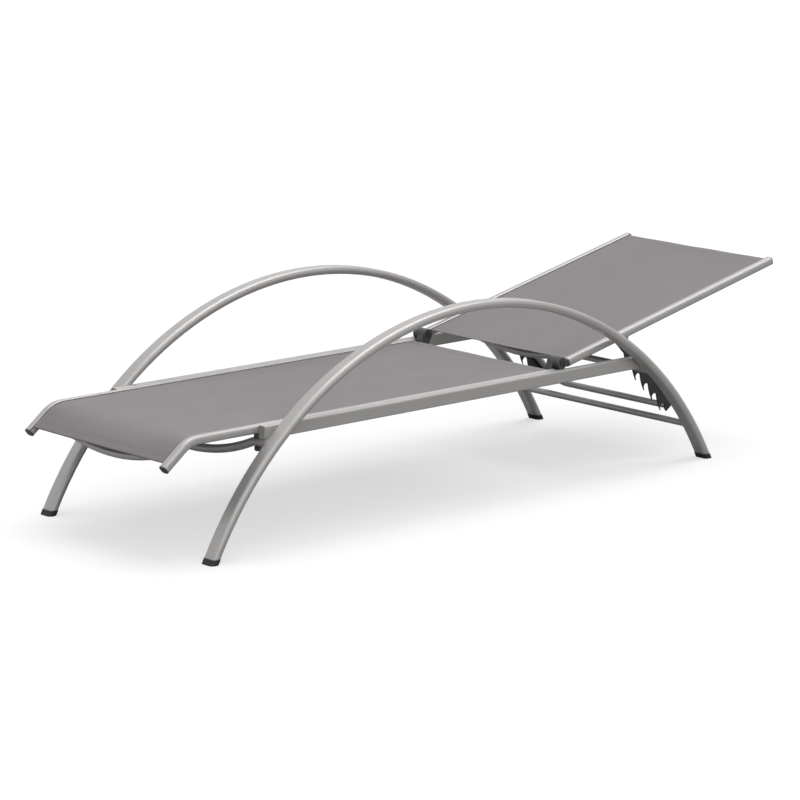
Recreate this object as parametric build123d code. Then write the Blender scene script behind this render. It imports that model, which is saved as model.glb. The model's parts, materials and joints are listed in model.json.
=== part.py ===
from build123d import *
import math
import os

# Sun lounger: two arched legs, a flat seat frame, a sling seat and a sling backrest on two hinges.
# A U shaped bail with two notched plates hangs from the backrest and hooks over a fixed catch bar.
# Millimetres. The origin is on the floor under the middle of the length and width.
# x runs to the head end, y to the far side and z up. Lengths along x start at the front feet.
# Pieces of the far side are drawn first, and their mirror images make the near side.

# Arches, each one both legs and the armrest of its side
arch_spacing = 600.0
foot_span = 1566.0
arch_rise = 479.56
arch_tube_width = 40.0
arch_tube_depth = 20.0
arch_tube_corner = 8.5
arch_tube_wall = 1.5
foot_cap_height = 12.0
foot_cap_overhang = 1.0
foot_plug_depth = 25.0
foot_plug_gap = 0.4

# Main rails, welded to the inner sides of the arches
main_rail_width = 20.0
main_rail_height = 30.0
main_rail_corner = 3.0
main_rail_wall = 1.5
main_rail_overhang = 33.0
rail_top = 280.0

# Seat rails and backrest rails, one extrusion with a rod channel for the sling
sling_rail_width = 22.0
sling_rail_height = 20.0
sling_rail_corner = 6.5
sling_rail_wall = 1.5
channel_radius = 3.2
mouth_width = 2.2
nose_bend_from_feet = 8.0
nose_bend_radius = 70.0
nose_angle = 38.0
nose_length = 62.0
end_cap_thickness = 3.0
end_cap_edge = 1.0
end_cap_plug_depth = 18.0

# Slings and the rods inside their hems
sling_thickness = 1.0
sling_rod_radius = 1.8
sling_rod_gap = 0.1
sling_end_inset = 2.5
seat_sling_sag = 7.0
back_sling_sag = 7.0

# Bowed cross tubes
bowed_tube_radius = 9.0
nose_tube_from_bend = 47.0
bowed_tube_drop = 40.0
bowed_tube_stub = 8.0
bowed_tube_below_rail_centre = 5.0
back_tube_from_hinge = 105.0
top_tube_from_end = 75.0
bow_end_radius = 60.0
leg_tube_radius = 10.0
leg_tube_drop = 50.0
leg_tube_stub = 30.0

# Bolts that hold the seat rails on the leg tube
leg_bolt_radius = 4.0
leg_bolt_reach = 3.0
leg_spacer_radius = 9.0
leg_spacer_height = 9.7
leg_nut_radius = 8.5
leg_nut_height = 11.0
leg_nut_gap = 1.0

# Straight cross tubes between the rear legs
catch_bar_radius = 8.0
catch_bar_below_rail_top = 38.0
rear_tube_radius = 8.0
rear_tube_height = 91.0

# Hinges between seat and backrest
hinge_before_catch_bar = 272.0
hinge_past_seat_rail = 20.0
hinge_above_rail_top = 12.0
knuckle_radius = 15.0
knuckle_gap = 0.5
inner_knuckle_width = 23.0
outer_knuckle_width = 16.5
knuckle_inset_radius = 9.0
knuckle_inset_depth = 1.2
knuckle_groove = 1.0
knuckle_groove_count = 3
knuckle_collar = 5.0
knuckle_arm_angle = 38.0
knuckle_plug_depth = 30.0
hinge_pin_radius = 4.0
hinge_pin_head_radius = 7.0
running_gap = 0.06
pin_gap = 0.1

# Backrest, drawn flat from its hinge line and then tilted
back_angle = 13.0
back_rail_start = 23.0
back_rail_end = 752.0
back_rail_drop = 6.2

# Bail, a U of round tube that hangs from the backrest at this angle below level
bail_above_catch_bar = 29.17
bail_pivot_below_rail = 17.0
bail_hang_angle = 45.0
bail_tube_radius = 8.0
bail_tube_wall = 1.5
bail_arm_centre_y = 206.0
bail_length = 294.0
bail_bend_radius = 36.0
bail_arm_overhang = 12.0
bail_plug_thickness = 2.5
bail_plug_depth = 5.0
bail_plug_bore = 6.0
pivot_bolt_radius = 3.0
pivot_head_radius = 6.0
pivot_head_height = 3.5
pivot_tab_thickness = 4.0
pivot_tab_radius = 12.0
pivot_tab_foot = 30.0
pivot_nut_radius = 6.0
pivot_nut_height = 6.0

# Notched plates on the outer sides of the bail's arms
plate_thickness = 4.0
notch_count = 5
notch_pitch = 41.5
notch_gap = 0.9
notch_seat_gap = 0.3
tip_along_x = 23.0
tip_below = 38.0
tooth_belly = 1.7
last_tooth_share = 0.35
plate_eye_radius = 13.0
plate_front_offset = 18.4
plate_heel_from_pivot = 45.0
plate_screw_radius = 2.5
plate_screw_head_radius = 5.0
plate_screw_head = 2.5
screw_share = 0.30
last_screw_share = 0.80

# Clearances that several pieces share
fit_gap = 0.2
seat_gap = 0.3
overrun = 5.0
hollow_corner_share = 0.6

# Flats that stand for the round stretches of long bent pieces, which keep the model light
arch_corner_flats = 4
rail_corner_flats = 3
bent_tube_flats = 16
rod_flats = 12

# The arches' circle, and the heights and places that follow from the top of the rails
half_foot_span = foot_span / 2
arch_radius = (half_foot_span**2 + arch_rise**2) / (2 * arch_rise)
arch_centre_z = arch_rise - arch_radius
catch_bar_height = rail_top - catch_bar_below_rail_top
hinge_height = rail_top + hinge_above_rail_top
leg_tube_height = rail_top - sling_rail_height - leg_spacer_height - seat_gap - leg_tube_radius
catch_bar_from_feet = half_foot_span + math.sqrt(arch_radius**2 - (catch_bar_height - arch_centre_z) ** 2)
hinge_from_feet = catch_bar_from_feet - hinge_before_catch_bar

# Where the front feet are, from the two ends of the whole length
nose_slope = math.radians(nose_angle)
back_slope = math.radians(back_angle)
half_rail = sling_rail_height / 2
nose_run = nose_bend_radius * math.sin(nose_slope) + (nose_length + end_cap_thickness) * math.cos(nose_slope)
nose_corner = half_rail * math.sin(nose_slope) - end_cap_edge * (math.cos(nose_slope) + math.sin(nose_slope) - 1)
foot_end = nose_bend_from_feet - nose_run - nose_corner
back_run = (back_rail_end + end_cap_thickness) * math.cos(back_slope)
back_corner = (back_rail_drop + half_rail) * math.sin(back_slope)
back_edge = end_cap_edge * (math.cos(back_slope) + math.sin(back_slope) - 1)
head_end = hinge_from_feet + back_run + back_corner - back_edge
front_feet_x = -(foot_end + head_end) / 2

# Places that follow from the sizes above
arch_x = front_feet_x + half_foot_span
arch_y = arch_spacing / 2
nose_bend_start = front_feet_x + nose_bend_from_feet
hinge_x = front_feet_x + hinge_from_feet
seat_rail_rear = hinge_x - hinge_past_seat_rail
arch_inner_y = arch_y - arch_tube_width / 2
main_rail_y = arch_inner_y - main_rail_width / 2
main_rail_z = rail_top - main_rail_height / 2
sling_rail_y = arch_inner_y - main_rail_width - sling_rail_width / 2
sling_rail_inner_y = sling_rail_y - sling_rail_width / 2
sling_rail_z = rail_top - sling_rail_height / 2
bead_radius = sling_rod_radius + sling_rod_gap + sling_thickness
channel_inset = sling_rail_wall + channel_radius
channel_u = channel_inset + sling_rod_gap - sling_rail_width / 2
channel_v = sling_rail_height / 2 - channel_inset
sling_v = channel_v + bead_radius - 1.5 * sling_thickness
back_frame = Location((hinge_x, 0, hinge_height), (0, -back_angle, 0))
bail_pivot_drop = back_rail_drop + bail_pivot_below_rail
hang_angle = math.radians(bail_hang_angle)
hang_rise = math.cos(hang_angle)
hang_run = math.sin(hang_angle)
bar_run = hinge_before_catch_bar - bail_pivot_drop * math.sin(back_slope)
bar_rise = catch_bar_height - hinge_height + bail_pivot_drop * math.cos(back_slope)
bail_reach = bar_run * hang_run + bar_rise * hang_rise + bail_above_catch_bar
bail_from_hinge = bail_reach / math.sin(hang_angle + back_slope)
bail_pivot = (back_frame * Pos(bail_from_hinge, 0, -bail_pivot_drop)).position
outer_knuckle_y = sling_rail_y + sling_rail_width / 2 - outer_knuckle_width - seat_gap
inner_knuckle_y = outer_knuckle_y - knuckle_gap - inner_knuckle_width
plate_inner_y = bail_arm_centre_y + bail_tube_radius
plate_outer_y = plate_inner_y + plate_thickness


def arch_x_at(height, side):
    """Where the centreline of an arch is at this height, on the head side (1) or foot side (-1)."""
    rise = height - arch_centre_z
    return arch_x + side * math.sqrt(arch_radius**2 - rise**2)


def mirrored(piece):
    """The near side's copy of a piece of the far side."""
    return mirror(piece, about=Plane.XZ)


def both_sides(piece):
    """One group of a far side piece and its near side copy."""
    return Compound(children=[*piece.solids(), *mirrored(piece).solids()])


def rod(start, end, radius):
    """A round bar from one point to another."""
    start = Vector(start)
    end = Vector(end)
    run = end - start
    return extrude(Plane(origin=start, z_dir=run) * Circle(radius), run.length)


def across(x, z, y_from, y_to, radius):
    """A round bar along y."""
    return rod((x, y_from, z), (x, y_to, z), radius)


def turned(x, z, points):
    """A round piece about an axis along y, from (y, radius) points that start and end on the axis."""
    plane = across_plane(x, 0, z)
    return revolve(plane * Polygon(*points, align=None), Axis(plane.origin, (0, 1, 0)), 360)


def flatted(width, height, corner, flats):
    """A rectangle whose round corners are drawn with short flats."""
    points = []
    for quarter, (side_x, side_y) in enumerate(((1, 1), (-1, 1), (-1, -1), (1, -1))):
        centre = Vector(side_x * (width / 2 - corner), side_y * (height / 2 - corner))
        for step in range(flats + 1):
            angle = math.pi / 2 * (quarter + step / flats)
            points.append(centre + Vector(math.cos(angle), math.sin(angle)) * corner)
    return Polygon(*points, align=None)


def bent_tube_section(radius):
    return RegularPolygon(radius, bent_tube_flats)


def rod_outline(radius):
    """The outline of a sling rod, or of what lies round it, in the rails' rod channel."""
    return Pos(channel_u, channel_v) * RegularPolygon(radius, rod_flats)


def hollow(width, height, corner):
    """The plain section inside a drawn tube, with its corners cut off."""
    inside = Rectangle(width, height)
    return chamfer(inside.vertices(), corner * hollow_corner_share)


def slab(x, y, z):
    """A box between three pairs of limits."""
    size = Box(x[1] - x[0], y[1] - y[0], z[1] - z[0])
    return Pos((x[0] + x[1]) / 2, (y[0] + y[1]) / 2, (z[0] + z[1]) / 2) * size


def side_plate(outline, y_from, y_to):
    """A face drawn in x and z, made into a plate between two y values."""
    drawn = Plane(origin=(0, y_from, 0), x_dir=(1, 0, 0), z_dir=(0, -1, 0)) * outline
    return extrude(drawn, y_to - y_from, dir=(0, 1, 0))


def across_plane(x, y, z):
    """The plane across the lounger's length, with its x axis to the far side and its y axis up."""
    return Plane(origin=(x, y, z), x_dir=(0, 1, 0), z_dir=(1, 0, 0))


def carried(section, plane, moves):
    """A section carried along straight runs and bends, square to its plane's z axis.

    A move is a length, or a bend's radius and degrees. A bend turns towards the plane's y axis,
    and away from it where its degrees are negative.
    """
    piece = None
    for move in moves:
        if isinstance(move, tuple):
            radius, degrees = move
            side = math.copysign(1, degrees)
            turn = math.radians(abs(degrees))
            centre = plane.origin + plane.y_dir * side * radius
            run = revolve(plane * section, Axis(centre, plane.x_dir * -side), abs(degrees))
            out = plane.z_dir * math.sin(turn) - plane.y_dir * side * math.cos(turn)
            ahead = plane.z_dir * math.cos(turn) + plane.y_dir * side * math.sin(turn)
            plane = Plane(origin=centre + out * radius, x_dir=plane.x_dir, z_dir=ahead)
        else:
            run = extrude(plane * section, move)
            plane = plane.offset(move)
        piece = run if piece is None else piece + run
    return piece


# Arches


def arch_band(section, low, high):
    """A section carried round the far side's arch and kept between two heights."""
    half_turn = math.asin(half_foot_span / arch_radius) + arch_tube_depth / arch_radius
    foot = Vector(-math.sin(half_turn), 0, math.cos(half_turn)) * arch_radius
    ahead = (math.cos(half_turn), 0, math.sin(half_turn))
    centre = Vector(arch_x, arch_y, arch_centre_z)
    start = Plane(origin=centre + foot, x_dir=(0, 1, 0), z_dir=ahead)
    band = revolve(start * section, Axis(centre, (0, 1, 0)), 2 * math.degrees(half_turn))
    reach = arch_radius + arch_tube_depth
    window = slab((arch_x - reach, arch_x + reach), (arch_y - reach, arch_y + reach), (low, high))
    return band & window


def arch_section(inset):
    width = arch_tube_width - 2 * inset
    depth = arch_tube_depth - 2 * inset
    return flatted(width, depth, arch_tube_corner - inset, arch_corner_flats)


def arch_inside(inset):
    width = arch_tube_width - 2 * inset
    depth = arch_tube_depth - 2 * inset
    return hollow(width, depth, arch_tube_corner - inset)


def arch():
    above = arch_radius + arch_tube_depth
    return arch_band(arch_section(0) - arch_inside(arch_tube_wall), foot_cap_height, above)


def foot_caps(side):
    """The rubber caps of the front feet (-1) or rear feet (1), each with a plug inside the tube."""
    cap = arch_band(arch_section(-foot_cap_overhang), 0, foot_cap_height)
    plug_top = foot_cap_height + foot_plug_depth
    plug = arch_band(arch_inside(arch_tube_wall + foot_plug_gap), foot_cap_height / 2, plug_top)
    pieces = (cap + plug).solids()
    return both_sides(max(pieces, key=lambda solid: side * solid.center().X))


def arch_outside():
    """The filled outline of the arch, which cross tubes are cut to."""
    return arch_band(arch_section(0), 0, arch_radius)


# Main rails


def main_rail_limits():
    front = arch_x_at(main_rail_z, -1) - main_rail_overhang
    rear = arch_x_at(main_rail_z, 1) - arch_tube_depth / 4
    return front, rear


def main_rail_section():
    return RectangleRounded(main_rail_width, main_rail_height, main_rail_corner)


def main_rail():
    front, rear = main_rail_limits()
    inside = Rectangle(main_rail_width - 2 * main_rail_wall, main_rail_height - 2 * main_rail_wall)
    start = across_plane(front, main_rail_y, main_rail_z)
    return extrude(start * (main_rail_section() - inside), rear - front)


def main_rail_plugs():
    """The plastic plugs that close the ends of the main rails."""
    inset = main_rail_wall + fit_gap
    inside = Rectangle(main_rail_width - 2 * inset, main_rail_height - 2 * inset)
    plugs = []
    for end, outward in zip(main_rail_limits(), (-1, 1)):
        face = across_plane(end, main_rail_y, main_rail_z)
        lid = extrude(face * main_rail_section(), outward * end_cap_thickness / 2)
        plug = extrude(face * inside, -outward * end_cap_plug_depth)
        plugs += both_sides(lid + plug).solids()
    return Compound(children=plugs)


# The sling rails' extrusion


def rail_outline():
    return flatted(sling_rail_width, sling_rail_height, sling_rail_corner, rail_corner_flats)


def rail_chamber(gap):
    """The hollow inside the extrusion beside the rod channel, made smaller by the gap."""
    inset = sling_rail_wall + gap
    width = sling_rail_width - 2 * inset
    height = sling_rail_height - 2 * inset
    chamber = hollow(width, height, sling_rail_corner - inset)
    return chamber - Pos(channel_u, channel_v) * Circle(channel_radius + inset)


def rail_section():
    channel = rod_outline(channel_radius)
    mouth_length = sling_rail_width / 2
    mouth = Pos(channel_u - mouth_length / 2, sling_v) * Rectangle(mouth_length, mouth_width)
    return rail_outline() - rail_chamber(0) - channel - mouth


# Seat rails, which run level and then bend down at the foot end


def nose_tip(along):
    """A point on the middle line of the seat rails' sloping end, at a distance from the end of the bend."""
    bend_x = nose_bend_start - nose_bend_radius * math.sin(nose_slope)
    bend_z = sling_rail_z - nose_bend_radius * (1 - math.cos(nose_slope))
    return Vector(bend_x - along * math.cos(nose_slope), 0, bend_z - along * math.sin(nose_slope))


def nose_plane(along, y):
    """The plane across the sloping end, with its x axis to the far side and its z axis into the seat."""
    origin = nose_tip(along) + Vector(0, y, 0)
    return Plane(origin=origin, x_dir=(0, 1, 0), z_dir=(math.cos(nose_slope), 0, math.sin(nose_slope)))


def along_seat(section, y, inset):
    """A section carried along the seat rails' line, shorter by the inset at both ends."""
    level = seat_rail_rear - nose_bend_start - inset
    bend = (nose_bend_radius, -nose_angle)
    return carried(section, nose_plane(nose_length - inset, y), [nose_length - inset, bend, level])


def seat_rail():
    centre = leg_bolt_point()
    hole = rod(centre, leg_bolt_end(), leg_bolt_radius)
    return along_seat(rail_section(), sling_rail_y, 0) - hole


def rail_cap(plane, outward):
    """An end cap on a plane across the rail's end, where outward is 1 or -1 along the plane's z axis."""
    lid = extrude(plane * rail_outline(), outward * end_cap_thickness)
    faces = lid.faces().sort_by(Axis(plane.origin, plane.z_dir * outward))
    lid = chamfer(faces[-1].edges(), end_cap_edge)
    return lid + extrude(plane * rail_chamber(fit_gap), -outward * end_cap_plug_depth)


def seat_rail_caps():
    return both_sides(rail_cap(nose_plane(nose_length, sling_rail_y), -1))


# Slings


def sling_section(sag):
    """The woven cloth across the frame: it wraps a rod in each rail's channel and sags a little."""
    rail_side = sling_rail_y + channel_u
    edge = sling_rail_inner_y - mouth_width
    top = sling_v + sling_thickness / 2
    low = sling_v - sling_thickness / 2
    upper = ThreePointArc((-edge, top), (0, top - sag), (edge, top))
    lower = ThreePointArc((edge, low), (0, low - sag), (-edge, low))
    cloth = make_face(upper + Line((edge, top), (edge, low)) + lower + Line((-edge, low), (-edge, top)))
    for side in (-1, 1):
        strip = Rectangle(rail_side - edge, sling_thickness)
        cloth += Pos(side * (edge + rail_side) / 2, sling_v) * strip
        cloth += Pos(side * rail_side, channel_v) * RegularPolygon(bead_radius, rod_flats)
    for side in (-1, 1):
        inside = RegularPolygon(sling_rod_radius + sling_rod_gap, rod_flats)
        cloth -= Pos(side * rail_side, channel_v) * inside
    return cloth


def rod_section():
    return rod_outline(sling_rod_radius)


def seat_sling():
    return along_seat(sling_section(seat_sling_sag), 0, sling_end_inset)


def seat_sling_rods():
    return both_sides(along_seat(rod_section(), sling_rail_y, sling_end_inset))


# Bowed cross tubes, which are closed at both ends and drawn solid


def bow(section, plane_x, plane_z, half_span, drop, stub):
    """A section carried across: a level stub, a small bend down, a wide arc and the same again."""
    angle = 2 * math.atan(drop / (half_span - stub))
    wide = (half_span - stub) / math.sin(angle) - bow_end_radius
    degrees = math.degrees(angle)
    start = Plane(origin=(plane_x, -half_span - overrun, plane_z), x_dir=(1, 0, 0), z_dir=(0, 1, 0))
    end_bend = (bow_end_radius, degrees)
    end_run = stub + overrun
    return carried(section, start, [end_run, end_bend, (wide, -2 * degrees), end_bend, end_run])


def cut_to(tube, blocks):
    """The piece of a cross tube that is left between two rails or legs."""
    for block in blocks:
        tube = tube - block
    return min(tube.solids(), key=lambda solid: abs(solid.center().Y))


def bow_under_sling(x, z):
    section = bent_tube_section(bowed_tube_radius)
    return bow(section, x, z, sling_rail_inner_y, bowed_tube_drop, bowed_tube_stub)


def nose_tube():
    x = nose_bend_start - nose_tube_from_bend
    rail_z = nose_tip(0).Z + (x - nose_tip(0).X) * math.tan(nose_slope)
    filled = along_seat(rail_outline(), sling_rail_y, 0)
    tube = bow_under_sling(x, rail_z - bowed_tube_below_rail_centre / math.cos(nose_slope))
    return cut_to(tube, [filled, mirrored(filled)])


def leg_tube():
    x = arch_x_at(leg_tube_height, -1)
    section = bent_tube_section(leg_tube_radius)
    tube = bow(section, x, leg_tube_height, arch_inner_y, leg_tube_drop, leg_tube_stub)
    tube = cut_to(tube, [arch_outside(), mirrored(arch_outside())])
    return tube - both_sides(rod(leg_nut_seat(), leg_bolt_end(), leg_bolt_radius))


# Bolts between the leg tube and the seat rails


def leg_bolt_point():
    """Where the upright bolt crosses the middle of the leg tube, under the far seat rail."""
    return Vector(arch_x_at(leg_tube_height, -1), sling_rail_y, leg_tube_height)


def leg_bolt_end():
    """The upper end of the bolt, just inside the far seat rail."""
    return leg_bolt_point() + Vector(0, 0, sling_rail_z - leg_tube_height - leg_bolt_reach)


def leg_nut_seat():
    """Where the bolt ends in the cap nut under the leg tube."""
    return leg_bolt_point() - Vector(0, 0, leg_tube_radius + leg_nut_height / 2)


def leg_bolts():
    return both_sides(rod(leg_nut_seat(), leg_bolt_end(), leg_bolt_radius - running_gap))


def leg_spacers():
    centre = leg_bolt_point()
    low = centre + Vector(0, 0, leg_tube_radius + seat_gap)
    seat = Vector(centre.X, centre.Y, rail_top - sling_rail_height)
    return both_sides(rod(low, seat, leg_spacer_radius) - rod(low, seat, leg_bolt_radius))


def leg_cap_nuts():
    """Cap nuts under the leg tube, just below its bend."""
    centre = leg_bolt_point()
    low = centre - Vector(0, 0, leg_tube_radius + leg_nut_height)
    high = centre - Vector(0, 0, leg_tube_radius + leg_nut_gap)
    nut = rod(low, high, leg_nut_radius)
    nut = chamfer(nut.faces().sort_by(Axis.Z)[0].edges(), leg_nut_height / 4)
    return both_sides(nut - rod(leg_nut_seat(), high, leg_bolt_radius))


# Straight tubes between the rear legs


def straight_tube(height, radius):
    x = arch_x_at(height, 1)
    tube = across(x, height, -arch_y, arch_y, radius)
    return cut_to(tube, [arch_outside(), mirrored(arch_outside())])


# Hinges


def knuckle_barrel(y_from, y_to):
    """The round part of a hinge half, with ring grooves."""
    groove = knuckle_groove
    rim = knuckle_radius
    step = (y_to - y_from) / (knuckle_groove_count + 1)
    points = [(y_from, 0), (y_from, rim - groove), (y_from + groove, rim)]
    for number in range(knuckle_groove_count):
        y = y_from + step * (number + 1)
        points += [(y - groove, rim), (y, rim - groove), (y + groove, rim)]
    points += [(y_to - groove, rim), (y_to, rim - groove), (y_to, 0)]
    return turned(hinge_x, hinge_height, points)


def pin_hole(y_from, y_to, open_side):
    """The hole for the hinge pin, with a shallow recess for its head in the open end (-1 or 1)."""
    hole = across(hinge_x, hinge_height, y_from - overrun, y_to + overrun, hinge_pin_radius + pin_gap)
    end = y_from if open_side < 0 else y_to
    inner = end - open_side * knuckle_inset_depth
    return hole + across(hinge_x, hinge_height, inner, end + open_side * overrun, knuckle_inset_radius)


def seat_knuckles():
    """The fixed half: a barrel beside the rail, an arm down to the rail's end and a plug inside it."""
    low = rail_top - sling_rail_height
    y_from = inner_knuckle_y
    y_to = inner_knuckle_y + inner_knuckle_width
    shoulder_x = knuckle_radius * math.cos(math.radians(knuckle_arm_angle))
    shoulder_z = knuckle_radius * math.sin(math.radians(knuckle_arm_angle))
    arm_outline = Polygon(
        (seat_rail_rear, low + sling_rail_wall),
        (seat_rail_rear + knuckle_collar, low),
        (hinge_x, low + sling_rail_wall),
        (hinge_x + shoulder_x, hinge_height - shoulder_z),
        (hinge_x, hinge_height),
        (hinge_x - shoulder_x, hinge_height + shoulder_z),
        (seat_rail_rear, rail_top - sling_rail_wall),
        align=None,
    )
    arm = side_plate(arm_outline, y_from + knuckle_groove, y_to - knuckle_groove)
    end = across_plane(seat_rail_rear, sling_rail_y, sling_rail_z)
    collar = extrude(end * rail_outline(), knuckle_collar)
    plug = extrude(end * rail_chamber(fit_gap), -knuckle_plug_depth)
    swept = across(hinge_x, hinge_height, y_to, sling_rail_y + sling_rail_width, knuckle_radius + knuckle_gap)
    whole = knuckle_barrel(y_from, y_to) + arm + (collar - swept) + plug - pin_hole(y_from, y_to, -1)
    return both_sides(whole)


def back_knuckles():
    """The moving half: a barrel in line with the backrest rail, a neck and a plug inside the rail."""
    y_from = outer_knuckle_y
    y_to = outer_knuckle_y + outer_knuckle_width
    end = back_end(back_rail_start)
    plug = extrude(end * rail_chamber(fit_gap), knuckle_plug_depth)
    collar = extrude(end * rail_outline(), -knuckle_collar)
    neck_end = back_rail_start - knuckle_collar / 2
    shoulder = knuckle_radius * math.sin(math.radians(knuckle_arm_angle))
    neck_outline = Polygon(
        (0, shoulder),
        (neck_end, half_rail - back_rail_drop - sling_rail_wall),
        (neck_end, sling_rail_wall - half_rail - back_rail_drop),
        (0, -shoulder),
        align=None,
    )
    neck = side_plate(neck_outline, y_from + knuckle_groove, y_to - knuckle_groove)
    clear = across(hinge_x, hinge_height, inner_knuckle_y, y_from - knuckle_gap, knuckle_radius + knuckle_gap)
    tail = back_frame * (collar + plug + neck) - clear
    return both_sides(knuckle_barrel(y_from, y_to) + tail - pin_hole(y_from, y_to, 1))


def hinge_pins():
    """A pin through both halves, with a low head in each end's recess."""
    low = inner_knuckle_y
    inner_face = low + knuckle_inset_depth
    high = outer_knuckle_y + outer_knuckle_width
    outer_face = high - knuckle_inset_depth + running_gap
    head = hinge_pin_head_radius
    shank = hinge_pin_radius
    points = [(low, 0), (low, head), (inner_face, head), (inner_face, shank)]
    points += [(outer_face, shank), (outer_face, head), (high, head), (high, 0)]
    return both_sides(turned(hinge_x, hinge_height, points))


# Backrest


def back_end(along):
    """The plane across the far backrest rail at a distance from the hinge line."""
    return across_plane(along, sling_rail_y, -back_rail_drop)


def back_rail():
    return back_frame * extrude(back_end(back_rail_start) * rail_section(), back_rail_end - back_rail_start)


def back_rail_caps():
    return back_frame * both_sides(rail_cap(back_end(back_rail_end), 1))


def back_sling():
    middle = across_plane(back_rail_start + sling_end_inset, 0, -back_rail_drop)
    length = back_rail_end - back_rail_start - 2 * sling_end_inset
    return back_frame * extrude(middle * sling_section(back_sling_sag), length)


def back_sling_rods():
    start = back_end(back_rail_start + sling_end_inset)
    length = back_rail_end - back_rail_start - 2 * sling_end_inset
    return back_frame * both_sides(extrude(start * rod_section(), length))


def back_cross_tube(along):
    tube = bow_under_sling(along, -back_rail_drop - bowed_tube_below_rail_centre)
    filled = extrude(back_end(back_rail_start) * rail_outline(), back_rail_end - back_rail_start)
    return back_frame * cut_to(tube, [filled, mirrored(filled)])


# Bail


def bail_frame():
    """Its x axis runs down the bail's arms from the pivot, its y axis across the lounger."""
    return Location(tuple(bail_pivot), (0, bail_hang_angle, 0))


def bail():
    arm = bail_arm_overhang + bail_length - bail_bend_radius
    half = bail_arm_centre_y
    start = Plane(origin=(-bail_arm_overhang, -half, 0), x_dir=(0, 0, -1), z_dir=(1, 0, 0))
    corner = (bail_bend_radius, 90)
    moves = [arm, corner, 2 * (half - bail_bend_radius), corner, arm]
    tube = carried(bent_tube_section(bail_tube_radius), start, moves)
    bore = extrude(across_plane(-bail_arm_overhang, half, 0) * Circle(bail_tube_radius - bail_tube_wall), bail_plug_bore)
    tube = tube - both_sides(bore)
    reach = half + 2 * bail_tube_radius
    tube = tube - across(0, 0, -reach, reach, pivot_bolt_radius + running_gap)
    for share_down in (screw_share, last_screw_share):
        x = bail_length * share_down
        tube = tube - both_sides(across(x, 0, half, reach, plate_screw_radius))
    return bail_frame() * tube


def bail_plugs():
    """Black plugs in the upper ends of the bail's arms."""
    start = across_plane(-bail_arm_overhang, bail_arm_centre_y, 0)
    lid = extrude(start * Circle(bail_tube_radius), -bail_plug_thickness)
    plug = extrude(start * Circle(bail_tube_radius - bail_tube_wall - fit_gap), bail_plug_depth)
    return bail_frame() * both_sides(lid + plug)


def pivot_tabs():
    """Rounded tabs welded on the inner sides of the backrest rails, which carry the bail's bolts."""
    top = sling_rail_height / 2 - sling_rail_corner - back_rail_drop
    foot = pivot_tab_foot / 2
    straight = Polygon(
        (bail_from_hinge - foot, top),
        (bail_from_hinge + foot, top),
        (bail_from_hinge + pivot_tab_radius, -bail_pivot_drop),
        (bail_from_hinge - pivot_tab_radius, -bail_pivot_drop),
        align=None,
    )
    y_from = sling_rail_inner_y - pivot_tab_thickness
    round_end = across(bail_from_hinge, -bail_pivot_drop, y_from, sling_rail_inner_y, pivot_tab_radius)
    tab = side_plate(straight, y_from, sling_rail_inner_y) + round_end
    hole = across(bail_from_hinge, -bail_pivot_drop, 0, arch_y, pivot_bolt_radius + running_gap)
    return back_frame * both_sides(tab - hole)


def pivot_bolts():
    """Bolts through the tabs that carry the bail, each with a head outside and a nut inside."""
    nut_high = bail_arm_centre_y - bail_tube_radius - seat_gap
    nut_low = nut_high - pivot_nut_height
    nut_edge = pivot_nut_height / 3
    outside = sling_rail_inner_y
    end = outside + pivot_head_height
    head_edge = pivot_head_height / 2
    points = [(nut_low, 0), (nut_low, pivot_nut_radius - nut_edge), (nut_low + nut_edge, pivot_nut_radius)]
    points += [(nut_high, pivot_nut_radius), (nut_high, pivot_bolt_radius), (outside, pivot_bolt_radius)]
    points += [(outside, pivot_head_radius), (end - head_edge, pivot_head_radius)]
    points += [(end, pivot_head_radius - head_edge), (end, 0)]
    return back_frame * both_sides(turned(bail_from_hinge, -bail_pivot_drop, points))


def pivot_spacers():
    y_from = plate_outer_y + seat_gap
    y_to = sling_rail_inner_y - pivot_tab_thickness
    sleeve = across(bail_from_hinge, -bail_pivot_drop, y_from, y_to, pivot_head_radius)
    hole = across(bail_from_hinge, -bail_pivot_drop, y_from, y_to, pivot_bolt_radius)
    return back_frame * both_sides(sleeve - hole)


# Notched plates


def notch_centre(number):
    """The middle of a notch's round top, with the lounger's x and z, for notches 0 to 4."""
    bar_x = arch_x_at(catch_bar_height, 1)
    drop = notch_gap - notch_seat_gap
    step = notch_pitch * number
    angle = math.radians(bail_hang_angle)
    return Vector(bar_x + step * math.cos(angle), catch_bar_height - drop - step * math.sin(angle))


def tooth_tip(number):
    """The tip of the tooth between notch number - 1 and notch number."""
    return notch_centre(number - 1) + Vector(tip_along_x, -tip_below)


def toothed_edge():
    """Notches open at the bottom, between teeth with a round belly and a hooked tip."""
    radius = catch_bar_radius + notch_gap
    edge = []
    for number in range(notch_count):
        centre = notch_centre(number)
        left = centre - Vector(radius, 0)
        right = centre + Vector(radius, 0)
        tip = tooth_tip(number + 1)
        if number == notch_count - 1:
            tip = right + (tip - right) * last_tooth_share
        chord = tip - right
        normal = Vector(chord.Y, -chord.X).normalized()
        edge.append(Line(tooth_tip(number), left))
        edge.append(ThreePointArc(left, centre + Vector(0, radius), right))
        edge.append(ThreePointArc(right, (right + tip) * 0.5 + normal * tooth_belly, tip))
    return edge


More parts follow.
